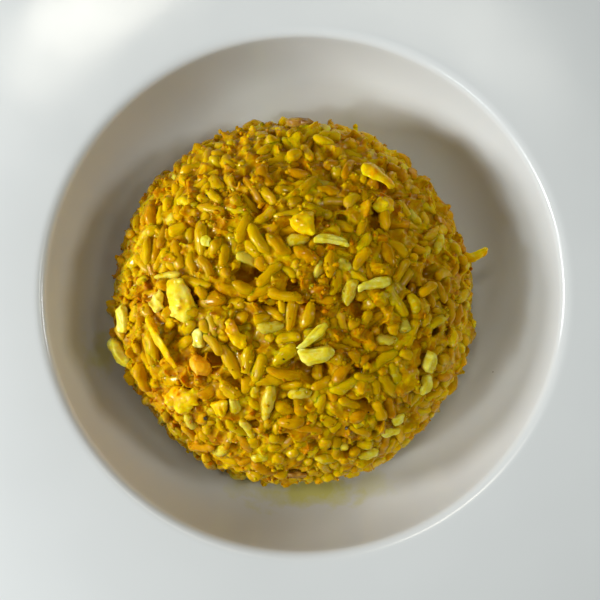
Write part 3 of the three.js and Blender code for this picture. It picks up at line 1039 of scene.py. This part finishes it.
def curd_shape(points, faces, knobby, seed):
    """Egg set in lumps: a CAD topping grown over with knobs of up to that share of its width, and fused."""
    random = np.random.default_rng(seed)
    middle, _, size = long_axes(points)
    core = middle + (1.04 - 0.6 * knobby) * (points - middle)
    count = int(8 + 1.1 * size[0])
    chosen = random.choice(len(points), min(count, len(points)), replace=False)
    knob = random.uniform(0.4, 1.0, len(chosen)) * knobby * size[1]
    places = middle + (points[chosen] - middle) * (1 - 0.9 * knob / size[1])[:, None]
    points, quads, normals = fused([(core, [faces]), crumb_points(places, knob, seed, 3)], CURD_VOXEL)
    points = eased(points, quads, 4)
    scoops = 0.35 * noise(points, 3.4, seed) + 0.16 * noise(points, 1.4, seed)
    scoops += 0.08 * noise(points, 0.7, seed + 1)
    return points + normals * scoops[:, None], [quads]


def strip_shape(points, seed):
    """A torn strip of thin omelette that follows a CAD strip, folded over along its length."""
    middle, axes, size = long_axes(points)
    if axes[2] @ mound_outward(middle[None])[0][0] < 0:
        axes[2] = -axes[2]
    reach = (points - middle) @ axes.T
    bend = [np.polyfit(reach[:, 0], reach[:, number], 2) for number in (1, 2)]
    rings, around = 64, 24
    t = np.linspace(-1, 1, rings)
    turn = np.linspace(0, 2 * math.pi, around, endpoint=False)
    u = size[0] / 2 * t
    line = middle + u[:, None] * axes[0] + np.polyval(bend[0], u)[:, None] * axes[1]
    line += (np.polyval(bend[1], u) + 0.45 * size[2])[:, None] * axes[2]
    fade = np.sqrt(np.clip(1 - np.abs(t) ** 3, 0.02, 1))
    width = 0.88 * size[1] * fade * (1 + 0.16 * np.sin(4 * t + seed) + 0.08 * np.sin(11 * t + 2 * seed))
    thick = 0.38 * size[2] * (0.4 + 0.6 * fade)
    roll = 0.35 * np.sin(2.2 * t + seed)
    wide = np.cos(roll)[:, None] * axes[1] + np.sin(roll)[:, None] * axes[2]
    flat = np.cos(roll)[:, None] * axes[2] - np.sin(roll)[:, None] * axes[1]
    droop = -0.7 * np.cos(turn) ** 2
    points = line[:, None] + (width[:, None] * np.cos(turn))[..., None] * wide[:, None]
    points = points + (thick[:, None] * (np.sin(turn) + droop))[..., None] * flat[:, None]
    points = np.vstack([line[:1], points.reshape(-1, 3), line[-1:]])
    points += 0.3 * np.column_stack([noise(points, 1.6, seed + axis) for axis in range(3)])
    return points, ring_faces(rings, around)


def chip_shape(points, seed):
    """A thin streaked chip of vegetable that follows a CAD slab."""
    middle, axes, size = long_axes(points)
    outward = mound_outward(middle[None])[0][0]
    outward = unit(outward - axes[0] * (outward @ axes[0]))
    return bit_shape(middle, axes[0], outward, size, 0.15, seed)


# Pieces of egg that are folded strips, that are smooth lumps, and that have a colour of their own.
OMELETTE_STRIPS = ("egg_strip_left", "egg_strip_right")
SMOOTH_EGG = ("egg_lump_left", "egg_lump_back", "egg_curl_left")
EGG_LOOKS = {"egg_lump_left": "pale_egg", "egg_curl_left": "orange_egg"}

# How far knobs stand out of smooth and of crumbly egg, as shares of its width.
SMOOTH_KNOBS = 0.12
CURD_KNOBS = 0.25

CURD_VOXEL = 0.34
FOODS = ("egg_white", "egg", "cabbage", "shallot")


def food_of(name):
    """The food that a piece's name starts with."""
    return next(food for food in FOODS if name.startswith(food))


def topping_shape(node, points, faces, seed):
    """A fine shape for a CAD topping."""
    if node in OMELETTE_STRIPS:
        return strip_shape(points, seed)
    if node.startswith("egg"):
        return curd_shape(points, faces, SMOOTH_KNOBS if node in SMOOTH_EGG else CURD_KNOBS, seed)
    return chip_shape(points, seed)


# Further bits: name, x, y, length, width, thickness, turn of the long way from +X in degrees, how far the
# middle stands out of the heap, and how much the far end narrows.
BITS = (
    ("cabbage_sliver_back", 7.7, 14.3, 10.6, 2.7, 1.7, -8, 1.0, 0.25),
    ("cabbage_sliver_right", 19.9, 2.3, 10.2, 3.2, 1.9, 12, 0.9, -0.1),
    ("cabbage_sliver_front", 2.4, -11.9, 10.6, 2.4, 1.6, 42, 1.0, -0.3),
    ("cabbage_bit_right", 28.3, -37.4, 4.2, 3.2, 1.9, 20, 0.6, 0.2),
    ("cabbage_bit_front", 26.4, -41.3, 6.2, 2.9, 1.7, -15, 0.6, 0.3),
    ("cabbage_bit_low", 20.2, -49.1, 6.7, 3.3, 1.9, 10, 0.6, 0.2),
    ("cabbage_round", -27.6, 15.0, 3.2, 2.8, 1.6, 80, 0.8, 0.1),
    ("egg_white_bit", -30.0, -12.6, 5.6, 3.5, 2.6, 95, 0.7, 0.2),
    ("egg_wedge", -24.3, -33.7, 5.4, 4.6, 3.2, -80, 0.9, 0.55),
    ("egg_bit_side", 45.3, -13.3, 5.6, 4.0, 2.6, 80, 0.7, 0.3),
    ("egg_bit_edge", 54.3, -9.6, 3.6, 2.6, 1.8, 60, 0.9, 0.3),
    ("shallot_front", -2.0, -55.7, 5.8, 3.0, 1.6, 5, 0.6, 0.2),
)

# The strip that pokes out on the right: its middle, its direction, and its length, width and thickness.
POKING_STRIP = (np.array([53.6, 12.6, 32.5]), np.array([0.88, 0.42, 0.2]), (7.6, 3.2, 2.0))

# Pepper specks: x, y and radius.
PEPPERS = (
    (-28.8, -36.4, 0.75), (12.7, -39.2, 0.55), (-4.0, -44.9, 0.42), (7.6, -46.0, 0.42),
    (-28.2, 28.8, 0.45), (-5.7, -18.4, 0.34), (19.0, -34.5, 0.36),
)


def bit_shape(place, along, outward, size, narrowing, seed):
    """An uneven, streaked and ragged chip, lying along the heap."""
    ball, faces = ball_template(4)
    length, width, thick = size
    squared = np.sign(ball) * np.abs(ball) ** 0.7
    u, v, w = squared.T
    uneven = noise(ball * [1.9, 1.4, 1.1] + seed * 5.3, 1.0, seed + 1)
    swell = 1 + 0.26 * uneven
    slanted = 0.3 * math.sin(2.3 * seed)
    x = length / 2 * (u + 0.1 * uneven) + slanted * width / 2 * v
    y = width / 2 * v * swell * (1 - narrowing * u) + 0.1 * length * (1 - u**2) * math.cos(seed)
    z = thick / 2 * w * swell
    flat = np.column_stack([x / 3.2, y / 0.55, z / 3.0]) + seed * 3.1
    z += 0.22 * thick * noise(flat, 1.0, seed) * w
    local = np.column_stack([x, y, z]) + seed * 7.7
    x += 0.3 * noise(local, 1.3, seed + 2)
    y += 0.22 * noise(local, 1.1, seed + 3)
    z += 0.16 * noise(local, 1.1, seed + 4)
    across = np.cross(outward, along)
    points = place + x[:, None] * along + y[:, None] * across + z[:, None] * outward
    return points, [faces]


def bit_shapes():
    """Points and faces of every further bit, by name."""
    shapes = {}
    for seed, (name, x, y, length, width, thick, turn, out, narrowing) in enumerate(BITS):
        place, outward, along = surface_frame(x, y, turn)
        middle = place + outward * (out - thick / 2)
        shapes[name] = bit_shape(middle, along, outward, (length, width, thick), narrowing, seed)
    place, along, size = POKING_STRIP
    along = unit(along)
    outward = np.cross(along, np.cross(UP, along))
    shapes["egg_strip_poking"] = bit_shape(place, along, outward, size, 0.3, 40)
    return shapes


def surface_under(x, y):
    """Place where a line straight down over (x, y) first meets a piece."""
    start = Vector((x, y, 2 * LIP_HEIGHT)) * MM
    hit = bpy.context.scene.ray_cast(bpy.context.evaluated_depsgraph_get(), start, Vector((0, 0, -1)))
    return np.array(hit[1]) / MM


def build_peppers(material):
    places = np.array([surface_under(x, y) for x, y, _ in PEPPERS]) + [0, 0, 0.1]
    sizes = np.array(PEPPERS)[:, 2]
    add_piece("pepper_specks", *crumb_points(places, sizes, 33, 3), material, "shallot")


FINE_CRUMBS = 1500


def build_fine_crumbs(skins, material):
    """Small loose crumbs on the mass, more of them and more orange where it is rich in egg."""
    points, normals = (np.vstack(part) for part in zip(*skins))
    depth = waviness(points) - mound_distance(points)[0]
    chance = np.where(depth < 2.5, np.clip(0.45 + egginess(points), 0.05, 2), 0)
    chosen = RANDOM.choice(len(points), FINE_CRUMBS, replace=False, p=chance / chance.sum())
    size = 0.3 + 0.6 * RANDOM.random(FINE_CRUMBS) ** 2
    places = points[chosen] + normals[chosen] * (0.1 * size)[:, None]
    hue = np.clip(0.5 - 0.2 * egginess(places) + RANDOM.normal(0, 0.2, FINE_CRUMBS), 0, 0.85)
    tone = np.column_stack([RANDOM.random(FINE_CRUMBS), hue])
    add_small_things("egg_crumbs", *crumb_points(places, size, 34, 2), tone, material, "egg")


# ---- Studio ----


def add_camera():
    data = bpy.data.cameras.new("camera")
    data.sensor_width = SENSOR_WIDTH
    data.lens = SENSOR_WIDTH * (CAMERA_PLACE[2] - WELL_EDGE_HEIGHT) / VIEW_WIDTH
    data.clip_start = 0.01
    data.clip_end = 20
    camera = add_object("camera", data)
    camera.location = Vector(CAMERA_PLACE) * MM
    bpy.context.scene.camera = camera


# Each light's name, its azimuth and elevation in degrees, its distance in millimetres, its width as a
# share of that distance, its power in watts, and its colour. The windows are on the left and in front.
LIGHTS = (
    ("near_left", 180, 22, 450, 0.3, 1.4, (0.97, 0.98, 1.0)),
    ("window_sharp", 200, 34, 1300, 0.12, 2.9, (0.88, 0.97, 1.0)),
    ("window_soft", 203, 33, 1300, 0.35, 5.0, (0.97, 0.98, 1.0)),
    ("window_front", 230, 36, 1300, 0.25, 1.8, (0.90, 0.98, 1.0)),
    ("room_right", 5, 35, 1300, 0.25, 3.5, (0.93, 0.97, 1.0)),
    ("lamp_right", 0, 60, 1300, 0.2, 1.1, (0.95, 1.0, 0.95)),
    ("lamp_back_right", 60, 75, 1300, 0.2, 0.5, (1.0, 0.96, 0.85)),
    ("lamp_back_left", 125, 70, 1300, 0.2, 1.6, (1.0, 0.94, 0.8)),
)
LIGHTS_TARGET = Vector((0, 0, 40))


def add_light(name, azimuth, elevation, distance, width, power, colour):
    """A soft round light aimed at the plate."""
    data = bpy.data.lights.new(name, "AREA")
    data.shape = "DISK"
    data.size = width * distance * MM
    data.energy = power
    data.color = colour
    light = add_object(name, data)
    light.visible_camera = False
    a, e = math.radians(azimuth), math.radians(elevation)
    outward = Vector((math.cos(a) * math.cos(e), math.sin(a) * math.cos(e), math.sin(e)))
    light.location = (LIGHTS_TARGET + distance * outward) * MM
    light.rotation_mode = "QUATERNION"
    light.rotation_quaternion = (-outward).to_track_quat("-Z", "Y")


def add_floor():
    corners = 3000.0 * np.array([[-1, -1, 0], [1, -1, 0], [1, 1, 0], [-1, 1, 0]]) - 0.2 * UP
    shader = Shader("floor", Roughness=0.7)
    greys = [(0.3, (0.6, 0.6, 0.59)), (0.7, (0.64, 0.64, 0.63))]
    shader.feed("Base Color", shader.ramp(shader.cloud(400, 2.0), greys))
    mesh_object("floor", corners, [np.array([[0, 1, 2, 3]])], shader.material)


SKY_COLOUR = (0.93, 0.97, 1.0, 1.0)
SKY_STRENGTH = 0.04


def add_studio():
    world = bpy.data.worlds.new("studio")
    world.use_nodes = True
    background = world.node_tree.nodes["Background"]
    background.inputs["Color"].default_value = SKY_COLOUR
    background.inputs["Strength"].default_value = SKY_STRENGTH
    bpy.context.scene.world = world
    for light in LIGHTS:
        add_light(*light)
    add_floor()
    bpy.context.scene.view_settings.view_transform = "Standard"


# ---- All the food ----


def build_food():
    materials = food_materials()
    toppings = {node: merged_mesh(node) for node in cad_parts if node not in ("plate", "rice_mound")}
    bits = bit_shapes()
    hollows = hollow_places()
    fixed_balls = [ball for points, _ in toppings.values() for ball in topping_balls(points)]
    fixed_balls += [ball for points, _ in bits.values() for ball in topping_balls(points[::6])]
    heap, length, width, crumb_size = pack_heap(np.vstack([fixed_balls, hollow_balls(hollows)]))
    for number, (node, shape) in enumerate(toppings.items()):
        points, faces = topping_shape(node, *shape, TOPPING_SEED + 10 * number)
        material = materials[EGG_LOOKS.get(node, food_of(node))]
        add_piece(node + "_food", points, faces, material, food_of(node), node)
    for name, (points, faces) in bits.items():
        add_piece(name, points, faces, materials[food_of(name)], food_of(name))

    count = len(length)
    centre = heap.centre[:count]
    axis = heap.axis[:count]
    depth = waviness(centre) - mound_distance(centre)[0]
    eggy = egginess(centre)
    coat = 0.28 * eggy + RANDOM.normal(-0.3, 0.2, count)
    coat[: len(KNOWN_GRAINS)] = -0.3
    swollen = 2 * (coat + CREASE_FILL)
    coated = grain_shapes(centre, axis, length + swollen, width + swollen, COAT_RINGS, COAT_AROUND)
    skins = build_mass_halves(heap, coated, crumb_size, hollows, materials["crumb"])
    seen = (depth < 5.0) & (coat < 0.08)
    shapes = grain_shapes(centre, axis, length, width)[seen]
    hue = np.clip(RANDOM.normal(0.44, 0.26, len(shapes)) - 0.2 * eggy[seen], 0, 0.9)
    hue[RANDOM.random(len(shapes)) < PALE_SHARE] = 1.0
    shade = 0.5 + 0.5 * noise(centre[seen], 14, 62) + RANDOM.normal(0, 0.2, len(shapes))
    tone = np.column_stack([np.clip(shade, 0, 1), hue])
    broken = length[seen] < BROKEN_LENGTH
    for name, part in (("rice_whole", ~broken), ("rice_broken", broken)):
        grains = grain_mesh(shapes[part], GRAIN_RINGS, GRAIN_AROUND)
        add_small_things(name, *grains, tone[part], materials["rice"], "rice")
    build_fine_crumbs([*skins, grain_skin(shapes)], materials["crumb"])
    build_peppers(materials["pepper"])


add_camera()
add_studio()
build_plate()
build_food()
